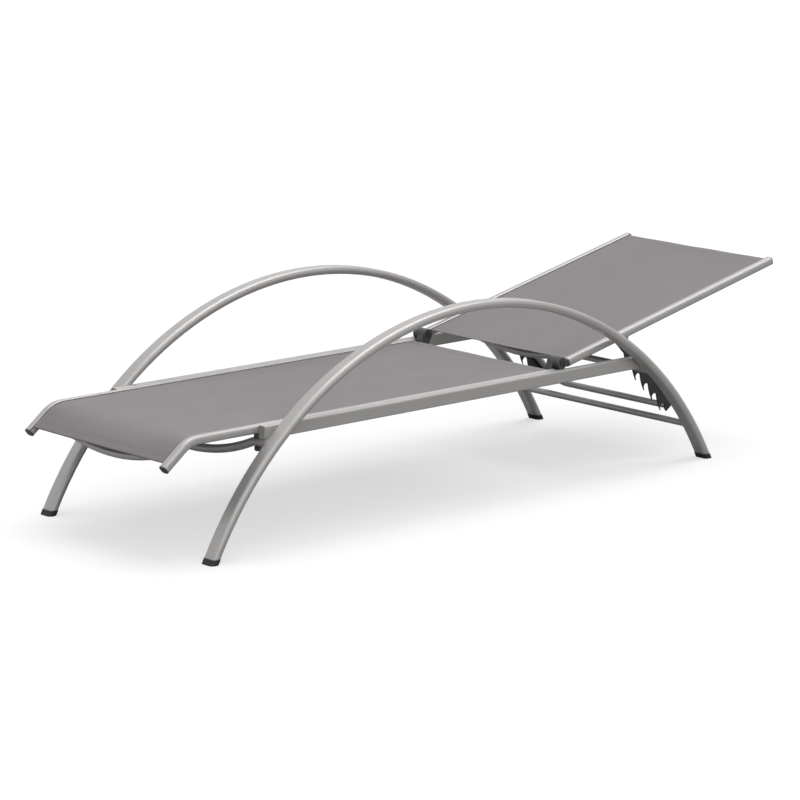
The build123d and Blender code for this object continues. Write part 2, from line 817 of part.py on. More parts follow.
def notched_plate():
    angle = math.radians(bail_hang_angle)
    down = Vector(math.cos(angle), -math.sin(angle))
    out = Vector(math.sin(angle), math.cos(angle))
    eye = Vector(bail_pivot.X, bail_pivot.Z)
    front_high = eye - out * plate_front_offset
    heel = front_high + down * plate_heel_from_pivot
    first_tip = tooth_tip(0)
    teeth = toothed_edge()
    end_tip = teeth[-1] @ 1
    back_low = eye + down * (bail_length - bail_bend_radius / 2) + out * bail_tube_radius / 2
    back_high = eye + out * plate_eye_radius
    outline = [Line(front_high, heel), Line(heel, first_tip), *teeth, Line(end_tip, back_low)]
    outline += [Line(back_low, back_high), ThreePointArc(back_high, eye - down * plate_eye_radius, front_high)]
    plate = side_plate(make_face(outline), plate_inner_y, plate_outer_y)
    holes = bail_frame() * across(0, 0, 0, arch_y, pivot_bolt_radius + running_gap)
    for share_down in (screw_share, last_screw_share):
        holes += bail_frame() * across(bail_length * share_down, 0, 0, arch_y, plate_screw_radius)
    return plate - holes


def plate_screws():
    """Two screws on each side, through the plate and into the bail's arm."""
    start = bail_arm_centre_y + bail_tube_radius / 2
    end = plate_outer_y + plate_screw_head
    edge = plate_screw_head / 2
    points = [(start, 0), (start, plate_screw_radius), (plate_outer_y, plate_screw_radius)]
    points += [(plate_outer_y, plate_screw_head_radius), (end - edge, plate_screw_head_radius)]
    points += [(end, plate_screw_head_radius - edge), (end, 0)]
    screws = []
    for share_down in (screw_share, last_screw_share):
        screws += (bail_frame() * both_sides(turned(bail_length * share_down, 0, points))).solids()
    return Compound(children=screws)


# Every node and its solids


def pair(name, piece):
    return {name + "_far": piece, name + "_near": mirrored(piece)}


def all_nodes():
    nodes = {}
    nodes |= pair("arch", arch())
    nodes |= {"foot_caps_front": foot_caps(-1), "foot_caps_rear": foot_caps(1)}
    nodes |= pair("main_rail", main_rail())
    nodes |= {"main_rail_plugs": main_rail_plugs()}
    nodes |= pair("seat_rail", seat_rail())
    nodes |= {"seat_rail_caps": seat_rail_caps()}
    nodes |= {"seat_sling": seat_sling(), "seat_sling_rods": seat_sling_rods()}
    nodes |= {"nose_cross_tube": nose_tube(), "leg_cross_tube": leg_tube()}
    nodes |= {"leg_bolts": leg_bolts(), "leg_spacers": leg_spacers(), "leg_cap_nuts": leg_cap_nuts()}
    nodes |= {"catch_bar": straight_tube(catch_bar_height, catch_bar_radius)}
    nodes |= {"rear_cross_tube": straight_tube(rear_tube_height, rear_tube_radius)}
    nodes |= {"seat_knuckles": seat_knuckles(), "back_knuckles": back_knuckles(), "hinge_pins": hinge_pins()}
    nodes |= pair("back_rail", back_rail())
    nodes |= {"back_rail_caps": back_rail_caps()}
    nodes |= {"back_sling": back_sling(), "back_sling_rods": back_sling_rods()}
    nodes |= {"back_low_cross_tube": back_cross_tube(back_tube_from_hinge)}
    nodes |= {"back_top_cross_tube": back_cross_tube(back_rail_end - top_tube_from_end)}
    nodes |= {"pivot_tabs": pivot_tabs(), "pivot_bolts": pivot_bolts(), "pivot_spacers": pivot_spacers()}
    nodes |= {"bail": bail(), "bail_plugs": bail_plugs()}
    nodes |= pair("notched_plate", notched_plate())
    nodes |= {"plate_screws": plate_screws()}
    return nodes


os.makedirs("parts", exist_ok=True)
for name, piece in all_nodes().items():
    export_step(piece, "parts/" + name + ".step")
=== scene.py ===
"""A sun lounger with sling seat and backrest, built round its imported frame.

Metres. x runs to the head end, y to the far side and z up, as in the frame.
"""

import json
import math
from typing import NamedTuple

import bmesh
import bpy
from bpy.props import FloatProperty, FloatVectorProperty, PointerProperty
from mathutils import Matrix, Vector


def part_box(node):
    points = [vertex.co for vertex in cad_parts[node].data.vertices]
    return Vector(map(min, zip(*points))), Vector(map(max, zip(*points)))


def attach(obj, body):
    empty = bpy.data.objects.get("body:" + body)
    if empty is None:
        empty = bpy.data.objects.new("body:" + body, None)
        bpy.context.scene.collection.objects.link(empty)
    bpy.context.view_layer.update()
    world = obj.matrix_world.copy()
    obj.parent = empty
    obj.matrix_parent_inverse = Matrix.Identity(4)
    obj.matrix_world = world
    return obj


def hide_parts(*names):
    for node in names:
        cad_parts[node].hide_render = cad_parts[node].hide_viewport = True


bl_info = {
    "name": "Sling Sun Lounger",
    "version": (1, 0, 0),
    "blender": (4, 5, 0),
    "location": "View3D > Sidebar > Lounger",
    "description": "Builds the slings, seams, welds, finishes and studio of a sun lounger",
    "category": "Object",
}

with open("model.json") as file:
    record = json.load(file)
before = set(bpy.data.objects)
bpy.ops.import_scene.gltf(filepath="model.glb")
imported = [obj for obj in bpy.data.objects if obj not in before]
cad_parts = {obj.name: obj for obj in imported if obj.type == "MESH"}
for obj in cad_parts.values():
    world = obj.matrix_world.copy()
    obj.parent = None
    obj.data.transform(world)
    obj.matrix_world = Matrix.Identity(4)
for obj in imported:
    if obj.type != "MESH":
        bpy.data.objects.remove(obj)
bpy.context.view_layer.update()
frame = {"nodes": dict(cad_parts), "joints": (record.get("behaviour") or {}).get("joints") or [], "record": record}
nodes = frame["nodes"]
joint_places = {joint["name"]: Vector(joint["pos_m"]) for joint in frame["joints"]}


# Measuring the frame


def reach_along(node, origin, direction):
    """The lowest and highest distance of a node's points from an origin along a direction."""
    distances = [(vertex.co - origin).dot(direction) for vertex in nodes[node].data.vertices]
    return min(distances), max(distances)


# Sizes and colours that a user can change


class SlingSizes(bpy.types.PropertyGroup):
    cloth_thickness: FloatProperty(
        name="Cloth thickness",
        description="Thickness of the woven sling",
        default=0.0008,
        unit="LENGTH",
    )
    seat_sag: FloatProperty(
        name="Seat sag",
        description="How far the middle of the seat hangs below its rails",
        default=0.0075,
        unit="LENGTH",
    )
    back_sag: FloatProperty(
        name="Back sag",
        description="How far the middle of the backrest hangs below its rails",
        default=0.0065,
        unit="LENGTH",
    )
    hem_sag_share: FloatProperty(
        name="Hem sag share",
        description="The share of the sag that is left at the stiff hems",
        default=0.15,
        subtype="FACTOR",
    )
    hem_reach: FloatProperty(
        name="Hem reach",
        description="How far from a hem the cloth takes to reach its full sag",
        default=0.16,
        unit="LENGTH",
    )
    bend_softness: FloatProperty(
        name="Bend softness",
        description="Length over which the middle of the cloth rounds off the bend of the rails",
        default=0.085,
        unit="LENGTH",
    )
    groove_height: FloatProperty(
        name="Groove height",
        description="Height of the rails' grooves above the middle of the rails",
        default=0.0067,
        unit="LENGTH",
    )
    groove_reach: FloatProperty(
        name="Groove reach",
        description="How far the cloth's edge goes into the groove",
        default=0.0035,
        unit="LENGTH",
    )
    hem_width: FloatProperty(
        name="Hem width",
        description="Width of the cloth that is turned under at each free end",
        default=0.030,
        unit="LENGTH",
    )
    end_inset: FloatProperty(
        name="End inset",
        description="Distance from the rail's end to the hem's fold",
        default=0.0035,
        unit="LENGTH",
    )
    foot_inset: FloatProperty(
        name="Foot inset",
        description="Distance from the foot end of the seat rails to the hem's fold",
        default=0.011,
        unit="LENGTH",
    )
    stitch_length: FloatProperty(
        name="Stitch length",
        description="Distance from one stitch to the next",
        default=0.0045,
        unit="LENGTH",
    )
    stitch_row_gap: FloatProperty(
        name="Stitch row gap",
        description="Distance between the two rows of stitches in a hem",
        default=0.006,
        unit="LENGTH",
    )
    yarn_pitch: FloatProperty(
        name="Yarn pitch",
        description="Distance from one yarn of the weave to the next",
        default=0.0011,
        unit="LENGTH",
    )


class RailSizes(bpy.types.PropertyGroup):
    nose_bend_radius: FloatProperty(
        name="Nose bend radius",
        description="Radius of the bend at the foot end of the seat rails",
        default=0.070,
        unit="LENGTH",
    )
    nose_angle: FloatProperty(
        name="Nose angle",
        description="How far the foot end of the seat rails turns down",
        default=math.radians(38),
        subtype="ANGLE",
    )
    nose_length: FloatProperty(
        name="Nose length",
        description="Length of the straight end of the seat rails",
        default=0.062,
        unit="LENGTH",
    )
    rail_height: FloatProperty(
        name="Rail height",
        description="Height of the sling rails' section",
        default=0.020,
        unit="LENGTH",
    )
    back_angle: FloatProperty(
        name="Backrest angle",
        description="Slope of the backrest as it is stored",
        default=math.radians(13),
        subtype="ANGLE",
    )
    weld_radius: FloatProperty(
        name="Weld radius",
        description="Half the width of a weld bead",
        default=0.0015,
        unit="LENGTH",
    )
    seam_spread: FloatProperty(
        name="Seam spread",
        description="Distance of a seam beside an arch from the arch's middle line",
        default=0.0045,
        unit="LENGTH",
    )
    weld_step: FloatProperty(
        name="Weld step",
        description="Distance from one ripple of a weld bead to the next",
        default=0.0017,
        unit="LENGTH",
    )


class LoungerColours(bpy.types.PropertyGroup):
    frame_metal: FloatVectorProperty(
        name="Frame coat",
        description="Silver grey powder coat of the tubes and rails",
        default=(0.44, 0.43, 0.42),
        subtype="COLOR",
    )
    sling_warp: FloatVectorProperty(
        name="Sling warp",
        description="Yarns that run along the lounger",
        default=(0.243, 0.219, 0.227),
        subtype="COLOR",
    )
    sling_weft: FloatVectorProperty(
        name="Sling weft",
        description="Yarns that run across the lounger",
        default=(0.192, 0.172, 0.180),
        subtype="COLOR",
    )
    thread: FloatVectorProperty(
        name="Thread",
        description="Sewing thread of the hems",
        default=(0.20, 0.19, 0.19),
        subtype="COLOR",
    )
    black_steel: FloatVectorProperty(
        name="Black steel",
        description="Coat of the notched plates",
        default=(0.012, 0.012, 0.013),
        subtype="COLOR",
    )
    hinge_plastic: FloatVectorProperty(
        name="Hinge plastic",
        description="Moulded plastic of the hinges",
        default=(0.060, 0.058, 0.061),
        subtype="COLOR",
    )
    cap_plastic: FloatVectorProperty(
        name="Cap plastic",
        description="Moulded plastic of the end caps, spacers and nuts",
        default=(0.030, 0.030, 0.031),
        subtype="COLOR",
    )
    grey_plastic: FloatVectorProperty(
        name="Grey plastic",
        description="Moulded plastic of the plugs in the main rails, in the frame's grey",
        default=(0.33, 0.32, 0.31),
        subtype="COLOR",
    )
    rubber: FloatVectorProperty(
        name="Foot rubber",
        description="Rubber of the foot caps",
        default=(0.014, 0.014, 0.014),
        subtype="COLOR",
    )
    black_oxide: FloatVectorProperty(
        name="Black oxide",
        description="Blackened steel of bolts, pins and screws",
        default=(0.055, 0.054, 0.055),
        subtype="COLOR",
    )
    floor: FloatVectorProperty(
        name="Floor",
        description="Pale studio floor",
        default=(0.43, 0.43, 0.43),
        subtype="COLOR",
    )


class StudioSizes(bpy.types.PropertyGroup):
    camera_place: FloatVectorProperty(
        name="Camera place",
        description="Where the photograph was taken from",
        default=(-5.4459, -6.0588, 1.9434),
        subtype="TRANSLATION",
    )
    camera_heading: FloatProperty(
        name="Camera heading",
        description="Turn of the camera from the y axis towards the x axis",
        default=math.radians(41.655),
        subtype="ANGLE",
    )
    camera_dip: FloatProperty(
        name="Camera dip",
        description="How far the camera looks down",
        default=math.radians(12.116),
        subtype="ANGLE",
    )
    camera_view: FloatProperty(
        name="Camera view",
        description="Angle that the camera sees",
        default=math.radians(13.18),
        subtype="ANGLE",
    )
    lamp_spread: FloatProperty(
        name="Lamp spread",
        description="Angle that each soft lamp fills in the sky",
        default=math.radians(55),
        subtype="ANGLE",
    )
    floor_size: FloatProperty(
        name="Floor size",
        description="Width of the studio floor",
        default=60.0,
        unit="LENGTH",
    )
    overhead: FloatProperty(
        name="Overhead light",
        description="Strength of the lamp above the lounger",
        default=1.88,
    )
    side: FloatProperty(
        name="Side light",
        description="Strength of the lamp on the camera's side",
        default=0.78,
    )
    fill: FloatProperty(
        name="Fill light",
        description="Strength of the even light from all round",
        default=0.30,
    )


# Mesh helpers


def piece_from(name, mesh_maker, body, material):
    """A finished piece made by a function that fills a bmesh. It rides on a body of the frame."""
    mesh = bpy.data.meshes.new(name)
    bm = bmesh.new()
    mesh_maker(bm)
    for face in bm.faces:
        face.smooth = True
    bm.to_mesh(mesh)
    bm.free()
    piece = bpy.data.objects.new(name, mesh)
    bpy.context.scene.collection.objects.link(piece)
    mesh.materials.append(bpy.data.materials[material])
    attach(piece, body)
    return piece


# Shader groups

# Grain and patches: how fine the noises are, the grain's share beside the patches, and middles
GRAIN_DETAIL = 2.0
PATCH_DETAIL = 4.0
GRAIN_SHARE = 0.5
NOISE_MIDDLE = 0.5
BOTH_MIDDLE = 0.75

# Flakes: how metallic the dullest is, and how much more the brightest
LEAST_METALLIC = 0.30
METALLIC_RANGE = 0.25

# Weave: its even shade, what slow drift and flecks add to shade, how much lighter the yarns' crowns are painted
# than the hollows between them (painted shade), and the crowns' gloss
WEAVE_SHADE = 0.68
DRIFT_SCALE = 7.0
DRIFT_DETAIL = 4.0
DRIFT_SHADE = 0.10
FLECK_SCALE = 260.0
FLECK_DETAIL = 2.0
FLECK_SHADE = 0.16
HOLLOW_PAINTED_SHADE = 0.30
WEAVE_ROUGHNESS = 0.72
CROWN_GLOSS = 0.14


def new_group(name, inputs, outputs):
    """A shader group with sockets by name and kind. Returns it with its input and output nodes."""
    group = bpy.data.node_groups.new(name, "ShaderNodeTree")
    for direction, sockets in (("INPUT", inputs), ("OUTPUT", outputs)):
        for label, kind in sockets.items():
            group.interface.new_socket(label, in_out=direction, socket_type="NodeSocket" + kind)
    return group, group.nodes.new("NodeGroupInput"), group.nodes.new("NodeGroupOutput")


def maths(tree, operation, first, second=None, clamp=False):
    """A math node whose inputs are numbers or sockets. Returns its output."""
    node = tree.nodes.new("ShaderNodeMath")
    node.operation = operation
    node.use_clamp = clamp
    for place, value in enumerate((first, second)):
        if isinstance(value, bpy.types.NodeSocket):
            tree.links.new(value, node.inputs[place])
        elif value is not None:
            node.inputs[place].default_value = value
    return node.outputs[0]


def mixed(tree, factor, first, second):
    """A colour between two colours, by a factor. All three are sockets."""
    node = tree.nodes.new("ShaderNodeMix")
    node.data_type = "RGBA"
    factor_place, first_place, second_place, result_place = 0, 6, 7, 2
    tree.links.new(factor, node.inputs[factor_place])
    tree.links.new(first, node.inputs[first_place])
    tree.links.new(second, node.inputs[second_place])
    return node.outputs[result_place]


def shaded(tree, colour, level):
    """A colour made lighter or darker by a factor. Both are sockets."""
    node = tree.nodes.new("ShaderNodeVectorMath")
    node.operation = "SCALE"
    tree.links.new(colour, node.inputs[0])
    tree.links.new(level, node.inputs["Scale"])
    return node.outputs[0]


def noise(tree, vector, scale, detail):
    """Noise from 0 to 1 at a scale that is a number or a socket."""
    node = tree.nodes.new("ShaderNodeTexNoise")
    node.inputs["Detail"].default_value = detail
    tree.links.new(vector, node.inputs["Vector"])
    if isinstance(scale, bpy.types.NodeSocket):
        tree.links.new(scale, node.inputs["Scale"])
    else:
        node.inputs["Scale"].default_value = scale
    return node.outputs["Fac"]


def grain_group():
    """Fine grain: a small relief, a patchy change of gloss and a slight change of shade."""
    group, start, end = new_group(
        "fine grain",
        {
            "Vector": "Vector",
            "Grain Scale": "Float",
            "Patch Scale": "Float",
            "Roughness": "Float",
            "Roughness Range": "Float",
            "Color": "Color",
            "Shade Range": "Float",
        },
        {"Color": "Color", "Roughness": "Float", "Height": "Float"},
    )
    given = start.outputs
    grain = noise(group, given["Vector"], given["Grain Scale"], GRAIN_DETAIL)
    patch = noise(group, given["Vector"], given["Patch Scale"], PATCH_DETAIL)
    spread = maths(group, "SUBTRACT", patch, NOISE_MIDDLE)
    gloss = maths(group, "MULTIPLY", spread, given["Roughness Range"])
    rough = maths(group, "ADD", given["Roughness"], gloss, clamp=True)
    both = maths(group, "ADD", patch, maths(group, "MULTIPLY", grain, GRAIN_SHARE))
    both_spread = maths(group, "SUBTRACT", both, BOTH_MIDDLE)
    level = maths(group, "ADD", 1.0, maths(group, "MULTIPLY", both_spread, given["Shade Range"]))
    group.links.new(shaded(group, given["Color"], level), end.inputs["Color"])
    group.links.new(rough, end.inputs["Roughness"])
    group.links.new(grain, end.inputs["Height"])


def flake_group():
    """Metal flakes in a coat: bright specks that differ from cell to cell."""
    group, start, end = new_group(
        "coat flakes",
        {"Vector": "Vector", "Flake Scale": "Float", "Color": "Color", "Sparkle": "Float"},
        {"Color": "Color", "Metallic": "Float"},
    )
    given = start.outputs
    cells = group.nodes.new("ShaderNodeTexVoronoi")
    group.links.new(given["Vector"], cells.inputs["Vector"])
    group.links.new(given["Flake Scale"], cells.inputs["Scale"])
    split = group.nodes.new("ShaderNodeSeparateColor")
    group.links.new(cells.outputs["Color"], split.inputs[0])
    spread = maths(group, "SUBTRACT", split.outputs[0], NOISE_MIDDLE)
    level = maths(group, "ADD", 1.0, maths(group, "MULTIPLY", spread, given["Sparkle"]))
    metal = maths(group, "MULTIPLY", split.outputs[1], METALLIC_RANGE)
    group.links.new(shaded(group, given["Color"], level), end.inputs["Color"])
    group.links.new(maths(group, "ADD", LEAST_METALLIC, metal), end.inputs["Metallic"])


def weave_group():
    """Coated yarns that go over and under each other, with painted shade in the hollows between them, read from a
    map in metres.
    """
    group, start, end = new_group(
        "sling weave",
        {"Vector": "Vector", "Yarns": "Float", "Warp": "Color", "Weft": "Color"},
        {"Color": "Color", "Height": "Float", "Roughness": "Float"},
    )
    given = start.outputs
    axes = group.nodes.new("ShaderNodeSeparateXYZ")
    group.links.new(given["Vector"], axes.inputs[0])
    turns = maths(group, "MULTIPLY", given["Yarns"], math.pi)
    waves = [maths(group, "SINE", maths(group, "MULTIPLY", axes.outputs[i], turns)) for i in (0, 1)]
    crowns = [maths(group, "ABSOLUTE", wave) for wave in waves]
    over = maths(group, "GREATER_THAN", maths(group, "MULTIPLY", waves[0], waves[1]), 0.0)
    under = maths(group, "SUBTRACT", 1.0, over)
    warp_height = maths(group, "MULTIPLY", crowns[0], over)
    weft_height = maths(group, "MULTIPLY", crowns[1], under)
    height = maths(group, "ADD", warp_height, weft_height)
    yarn = mixed(group, over, given["Weft"], given["Warp"])
    drift = noise(group, given["Vector"], DRIFT_SCALE, DRIFT_DETAIL)
    fleck = noise(group, given["Vector"], FLECK_SCALE, FLECK_DETAIL)
    # Painted shade: the colour darkens from the yarns' crowns into the hollows between them, while drift and
    # flecks add random tone.
    level = maths(group, "MULTIPLY", drift, DRIFT_SHADE)
    for part, share in ((fleck, FLECK_SHADE), (height, HOLLOW_PAINTED_SHADE)):
        level = maths(group, "ADD", level, maths(group, "MULTIPLY", part, share))
    level = maths(group, "ADD", level, WEAVE_SHADE)
    gloss = maths(group, "MULTIPLY", height, CROWN_GLOSS)
    group.links.new(shaded(group, yarn, level), end.inputs["Color"])
    group.links.new(height, end.inputs["Height"])
    group.links.new(maths(group, "SUBTRACT", WEAVE_ROUGHNESS, gloss), end.inputs["Roughness"])


# Materials

# The frame's powder coat
FLAKE_SCALE = 2200.0
COAT_SPARKLE = 0.22
COAT_GRAIN = {
    "Grain Scale": 900.0,
    "Patch Scale": 9.0,
    "Roughness": 0.38,
    "Roughness Range": 0.12,
    "Shade Range": 0.10,
}
COAT_RELIEF = 0.00012
COAT_RELIEF_STRENGTH = 0.35
CORNER_SAMPLES = 6
CORNER_RADIUS = 0.003

# What all plain finishes share
PLAIN_PATCH_SCALE = 30.0
PLAIN_ROUGHNESS_RANGE = 0.18
PLAIN_RELIEF_STRENGTH = 0.5

# The slings' cloth
CLOTH_SPECULAR = 0.35
CLOTH_SHEEN = 0.55
CLOTH_SHEEN_ROUGHNESS = 0.35
CLOTH_RELIEF = 0.00025
CLOTH_RELIEF_STRENGTH = 0.5


class PlainFinish(NamedTuple):
    """A moulded, rubber, coated or plated finish, told apart by its grain and gloss."""

    colour: str
    grain_scale: float
    roughness: float
    shade_range: float
    relief: float
    metallic: float = 0.0


PLAIN_FINISHES = {
    "black steel": PlainFinish("black_steel", 700.0, 0.42, shade_range=0.30, relief=0.00010),
    "hinge plastic": PlainFinish("hinge_plastic", 1800.0, 0.34, shade_range=0.25, relief=0.00008),
    "cap plastic": PlainFinish("cap_plastic", 1800.0, 0.45, shade_range=0.25, relief=0.00008),
    "grey plastic": PlainFinish("grey_plastic", 1800.0, 0.50, shade_range=0.20, relief=0.00008),
    "rod plastic": PlainFinish("cap_plastic", 1500.0, 0.50, shade_range=0.20, relief=0.00005),
    "foot rubber": PlainFinish("rubber", 900.0, 0.62, shade_range=0.35, relief=0.00020),
    "black oxide steel": PlainFinish(
        "black_oxide", 1500.0, 0.35, shade_range=0.30, relief=0.00005, metallic=0.6
    ),
    "sewing thread": PlainFinish("thread", 4000.0, 0.60, shade_range=0.30, relief=0.00005),
}
SLOT_FINISHES = {
    "frame_metal": "silver coat",
    "black_plate": "black steel",
    "hinge_plastic": "hinge plastic",
    "cap_plastic": "cap plastic",
    "foot_rubber": "foot rubber",
    "rod_plastic": "rod plastic",
    "fastener_steel": "black oxide steel",
}
NODE_FINISHES = {"main_rail_plugs": "grey plastic"}


def new_material(name, metallic=0.0, specular=0.5):
    """A material with a Principled BSDF, ready for its groups."""
    material = bpy.data.materials.new(name)
    material.use_nodes = True
    tree = material.node_tree
    shader = tree.nodes["Principled BSDF"]
    shader.inputs["Metallic"].default_value = metallic
    shader.inputs["Specular IOR Level"].default_value = specular
    coordinates = tree.nodes.new("ShaderNodeTexCoord")
    return tree, shader, coordinates


def place_group(tree, name, values):
    """A shader group in a material, with values by input name."""
    node = tree.nodes.new("ShaderNodeGroup")
    node.node_tree = bpy.data.node_groups[name]
    for label, value in values.items():
        if isinstance(value, bpy.types.NodeSocket):
            tree.links.new(value, node.inputs[label])
        else:
            node.inputs[label].default_value = value
    return node


def add_grain(tree, shader, coordinates, colour, values):
    """The fine grain group on a shader's colour and roughness. Returns the relief's height."""
    place = coordinates.outputs["Object"]
    grain = place_group(tree, "fine grain", {"Vector": place, "Color": colour, **values})
    tree.links.new(grain.outputs["Color"], shader.inputs["Base Color"])
    tree.links.new(grain.outputs["Roughness"], shader.inputs["Roughness"])
    return grain.outputs["Height"]


def add_bump(tree, shader, height, distance, strength):
    """A relief on a shader, from a height socket."""
    bump = tree.nodes.new("ShaderNodeBump")
    bump.inputs["Distance"].default_value = distance
    bump.inputs["Strength"].default_value = strength
    tree.links.new(height, bump.inputs["Height"])
    tree.links.new(bump.outputs[0], shader.inputs["Normal"])


def round_corners(tree, shader):
    """Shade the short flats of drawn tubes as one round surface, under the relief."""
    rounded = tree.nodes.new("ShaderNodeBevel")
    rounded.samples = CORNER_SAMPLES
    rounded.inputs["Radius"].default_value = CORNER_RADIUS
    bump = shader.inputs["Normal"].links[0].from_node
    tree.links.new(rounded.outputs[0], bump.inputs["Normal"])


def silver_coat(colour):
    """Powder coat with metal flakes and a slight orange peel."""
    tree, shader, coordinates = new_material("silver coat")
    flakes = place_group(
        tree,
        "coat flakes",
        {
            "Vector": coordinates.outputs["Object"],
            "Flake Scale": FLAKE_SCALE,
            "Color": (*colour, 1),
            "Sparkle": COAT_SPARKLE,
        },
    )
    height = add_grain(tree, shader, coordinates, flakes.outputs["Color"], COAT_GRAIN)
    tree.links.new(flakes.outputs["Metallic"], shader.inputs["Metallic"])
    add_bump(tree, shader, height, COAT_RELIEF, COAT_RELIEF_STRENGTH)
    round_corners(tree, shader)


def plain_finish(name, finish, colours):
    """One of the plain finishes, in its colour."""
    tree, shader, coordinates = new_material(name, finish.metallic)
    values = {
        "Grain Scale": finish.grain_scale,
        "Patch Scale": PLAIN_PATCH_SCALE,
        "Roughness": finish.roughness,
        "Roughness Range": PLAIN_ROUGHNESS_RANGE,
        "Shade Range": finish.shade_range,
    }
    colour = (*getattr(colours, finish.colour), 1)
    height = add_grain(tree, shader, coordinates, colour, values)
    add_bump(tree, shader, height, finish.relief, PLAIN_RELIEF_STRENGTH)


def sling_cloth(colours, pitch):
    """Coated yarn cloth, read from the cloth's own map in metres."""
    tree, shader, coordinates = new_material("sling cloth", specular=CLOTH_SPECULAR)
    weave = place_group(
        tree,
        "sling weave",
        {
            "Vector": coordinates.outputs["UV"],
            "Yarns": 1 / pitch,
            "Warp": (*colours.sling_warp, 1),
            "Weft": (*colours.sling_weft, 1),
        },
    )
    tree.links.new(weave.outputs["Color"], shader.inputs["Base Color"])
    tree.links.new(weave.outputs["Roughness"], shader.inputs["Roughness"])
    shader.inputs["Sheen Weight"].default_value = CLOTH_SHEEN
    shader.inputs["Sheen Roughness"].default_value = CLOTH_SHEEN_ROUGHNESS
    add_bump(tree, shader, weave.outputs["Height"], CLOTH_RELIEF, CLOTH_RELIEF_STRENGTH)


class LOUNGER_OT_finishes(bpy.types.Operator):
    """Make the finishes and put them on the pieces of the frame"""

    bl_idname = "lounger.finishes"
    bl_label = "Finishes"

    def execute(self, context):
        colours = context.scene.lounger_colours
        grain_group()
        flake_group()
        weave_group()
        silver_coat(colours.frame_metal)
        sling_cloth(colours, context.scene.lounger_slings.yarn_pitch)
        for name, finish in PLAIN_FINISHES.items():
            plain_finish(name, finish, colours)
        for row in frame["record"]["subparts"]:
            slot = row["material_slot"]
            if slot in SLOT_FINISHES:
                finish = NODE_FINISHES.get(row["node"], SLOT_FINISHES[slot])
                node = nodes[row["node"]]
                node.data.materials.clear()
                node.data.materials.append(bpy.data.materials[finish])
        return {"FINISHED"}


# Slings

# How fast the middle of the cloth leaves the line of the rails
SOFT_POWER = 0.75

# A faint unevenness of the stretched cloth
RIPPLE_HEIGHT = 0.0004
RIPPLE_ACROSS = 9.0
RIPPLE_ALONG = 5.0

# The hem's fold, in cloth thicknesses, and the share of the mesh rows that each hem's zone gets
FOLD_RADIUS_SHARE = 0.62
HEM_ROWS_SHARE = 0.1

# The mesh rows along each cloth and the columns across it
SEAT_ROWS = 180
BACK_ROWS = 140
CLOTH_COLUMNS = 48

# Stitches: the outer row's distance from the hem's inner edge, their length in stitch lengths,
# half the thread's width and height, and the step that finds the direction across the cloth
STITCH_INSET = 0.004
STITCH_SHARE = 0.40
THREAD_HALF_WIDTH = 0.00035
THREAD_HALF_HEIGHT = 0.00030
SIDE_STEP = 0.002


def seat_line(rails):
    """The seat rails' middle line from the foot end: a function of distance, and its length.

    The function returns the point with y at zero and the direction that is up from the rail.
    """
    low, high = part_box("seat_rail_far")
    half = rails.rail_height / 2
    slope = rails.nose_angle
    radius = rails.nose_bend_radius
    run = rails.nose_length * math.cos(slope)
    bend_x = low.x + half * math.sin(slope) + run + radius * math.sin(slope)
    level_z = high.z - half
    turn_end = rails.nose_length + radius * slope
    length = turn_end + high.x - bend_x

    def place(along):
        if along >= turn_end:
            return Vector((bend_x + along - turn_end, 0, level_z)), Vector((0, 0, 1))
        angle = slope if along < rails.nose_length else (turn_end - along) / radius
        up = Vector((-math.sin(angle), 0, math.cos(angle)))
        centre = Vector((bend_x, 0, level_z - radius))
        point = centre + up * radius
        if along < rails.nose_length:
            rest = rails.nose_length - along
            point -= Vector((math.cos(slope), 0, math.sin(slope))) * rest
        return point, up

    return place, length


def back_line(rails):
    """The backrest rails' middle line from its lower end, as for the seat."""
    hinge = joint_places["back_hinge"].copy()
    hinge.y = 0
    along_rail = Vector((math.cos(rails.back_angle), 0, math.sin(rails.back_angle)))
    up = Vector((-math.sin(rails.back_angle), 0, math.cos(rails.back_angle)))
    start, end = reach_along("back_rail_far", hinge, along_rail)
    low, high = reach_along("back_rail_far", hinge, up)
    middle = hinge + up * (low + high) / 2

    def place(along):
        return middle + along_rail * (start + along), up

    return place, end - start


def softened(place, length, window):
    """The line averaged over a window, which rounds off a bend, but not past the line's ends."""
    steps = 9

    def soft(along):
        reach = min(window / 2, along, length - along)
        points = [place(along + reach * (2 * step / (steps - 1) - 1)) for step in range(steps)]
        middle = sum((point for point, up in points), Vector()) / steps
        up = sum((up for point, up in points), Vector()).normalized()
        return middle, up

    return soft


def cloth_surface(place, length, sag, sizes, half_width):
    """A function for the cloth's middle surface, by distance along and from -1 to 1 across."""
    soft = softened(place, length, sizes.bend_softness)

    def surface(along, across):
        inside = min(max(along, 0.0), length)
        edge_point, edge_up = place(inside)
        soft_point, soft_up = soft(inside)
        slack = 1 - across * across
        share = slack**SOFT_POWER
        point = edge_point.lerp(soft_point, share)
        up = edge_up.lerp(soft_up, share).normalized()
        from_hem = min(inside, length - inside)
        held = max(0.0, 1 - from_hem / sizes.hem_reach) ** 2
        drop = sag * slack * (1 - (1 - sizes.hem_sag_share) * held)
        wave = math.sin(across * RIPPLE_ACROSS + along * RIPPLE_ALONG)
        ripple = RIPPLE_HEIGHT * wave * slack
        place_out = point + up * (sizes.groove_height - drop + ripple)
        place_out.y = across * half_width
        return place_out, up

    return surface


